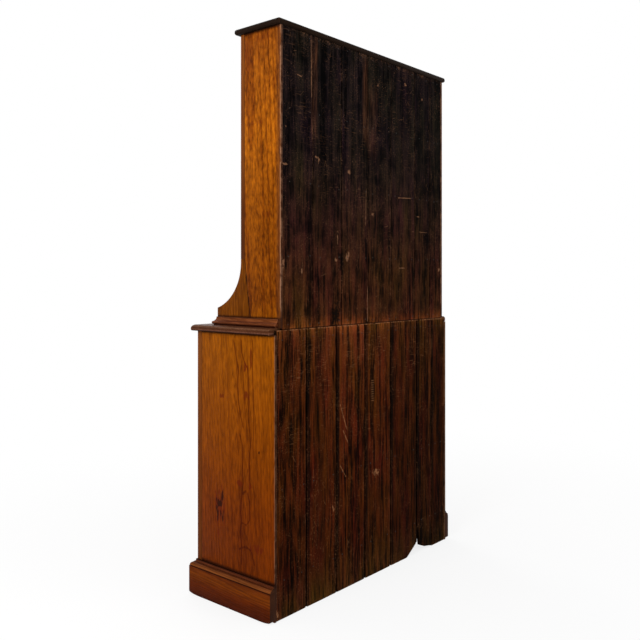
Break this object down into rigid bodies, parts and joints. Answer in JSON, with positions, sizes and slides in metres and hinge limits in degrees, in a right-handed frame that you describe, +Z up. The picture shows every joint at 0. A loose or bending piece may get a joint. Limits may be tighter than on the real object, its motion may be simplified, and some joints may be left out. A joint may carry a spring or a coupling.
{
  "type": "kitchen dresser",
  "caption": "Tall two-stage pine kitchen dresser: cupboard base with drawers over panelled doors, and an open plate rack on shaped feet, closed behind by upright boards.",
  "frame": {"origin": "on the floor, under the middle of the whole piece (knob fronts to the top board's back edge)", "axes": "+X along the width, -Y out of the front with its doors and drawers, +Y out of the boarded back, +Z up"},
  "size_m": [1.112, 0.421, 2],
  "materials": {
    "base_back_boards": "dark stained rough-sawn boards, matt",
    "rack_back_boards": "near-black stained boards, matt",
    "base_sides": "old varnished pine, satin",
    "rack_sides": "old varnished pine, satin",
    "plinth": "dark varnished pine, satin",
    "rack_moulding": "worn varnished pine, satin",
    "worktop": "worn varnished pine, satin",
    "top_board": "dark varnished pine, satin",
    "face_frame": "old varnished pine, satin",
    "shelves": "old varnished pine, satin",
    "doors": "old varnished pine, satin",
    "drawer_fronts": "old varnished pine, satin",
    "drawer_boxes": "bare aged pine, matt",
    "plain_pine": "bare aged pine, matt",
    "knobs": "turned, dark varnished, satin",
    "iron": "blackened, lightly rusted"
  },
  "bodies": {
    "carcass": {"base_back_board_1": "base_back_boards", "base_back_board_2": "base_back_boards", "base_back_board_3": "base_back_boards", "base_back_board_4": "base_back_boards", "base_back_board_5": "base_back_boards", "base_back_board_6": "base_back_boards", "base_back_board_7": "base_back_boards", "base_floor": "plain_pine", "base_side_left": "base_sides", "base_side_right": "base_sides", "base_stiles": "face_frame", "bottom_rail": "face_frame", "cupboard_shelf": "plain_pine", "drawer_blade": "face_frame", "drawer_guides": "plain_pine", "drawer_kickers": "plain_pine", "drawer_runners": "plain_pine", "hinge_fixed_leaves_and_pins": "iron", "muntins": "face_frame", "plinth_front": "plinth", "plinth_returns": "plinth", "rack_back_board_1": "rack_back_boards", "rack_back_board_2": "rack_back_boards", "rack_back_board_3": "rack_back_boards", "rack_back_board_4": "rack_back_boards", "rack_back_board_5": "rack_back_boards", "rack_back_board_6": "rack_back_boards", "rack_back_board_7": "rack_back_boards", "rack_base_board": "shelves", "rack_bracket_left": "rack_sides", "rack_bracket_right": "rack_sides", "rack_frieze": "face_frame", "rack_front_mould": "rack_moulding", "rack_shelf_lower": "shelves", "rack_shelf_middle": "shelves", "rack_shelf_upper": "shelves", "rack_side_left": "rack_sides", "rack_side_moulds": "rack_moulding", "rack_side_right": "rack_sides", "rack_stiles": "face_frame", "stop_blocks": "plain_pine", "top_board": "top_board", "top_rail": "face_frame", "worktop": "worktop"},
    "drawer_right": {"drawer_right_box": "drawer_boxes", "drawer_right_front": "drawer_fronts", "drawer_right_knobs": "knobs"},
    "drawer_left": {"drawer_left_box": "drawer_boxes", "drawer_left_front": "drawer_fronts", "drawer_left_knobs": "knobs"},
    "door_right": {"door_right_frame": "doors", "door_right_panel": "doors", "door_right_hinge_leaves": "iron"},
    "door_left": {"door_left_frame": "doors", "door_left_panel": "doors", "door_left_hinge_leaves": "iron"},
    "latch_right": {"door_right_knob": "iron", "door_right_latch": "iron"},
    "latch_left": {"door_left_knob": "iron", "door_left_latch": "iron"}
  },
  "joints": [
    {"name": "drawer_right_slide", "type": "slide", "parent": "carcass", "child": "drawer_right", "axis": [0, -1, 0], "range_m": [0, 0.27]},
    {"name": "drawer_left_slide", "type": "slide", "parent": "carcass", "child": "drawer_left", "axis": [0, -1, 0], "range_m": [0, 0.27]},
    {"name": "door_right_hinge", "type": "hinge", "parent": "carcass", "child": "door_right", "pos_m": [0.473, -0.1843, 0.448], "axis": [0, 0, 1], "range_deg": [0, 110]},
    {"name": "door_left_hinge", "type": "hinge", "parent": "carcass", "child": "door_left", "pos_m": [-0.473, -0.1843, 0.448], "axis": [0, 0, -1], "range_deg": [0, 110]},
    {"name": "latch_right_turn", "type": "hinge", "parent": "door_right", "child": "latch_right", "pos_m": [0.067, -0.1705, 0.486], "axis": [0, 1, 0], "range_deg": [0, 90]},
    {"name": "latch_left_turn", "type": "hinge", "parent": "door_left", "child": "latch_left", "pos_m": [-0.067, -0.1705, 0.486], "axis": [0, -1, 0], "range_deg": [0, 90]}
  ]
}
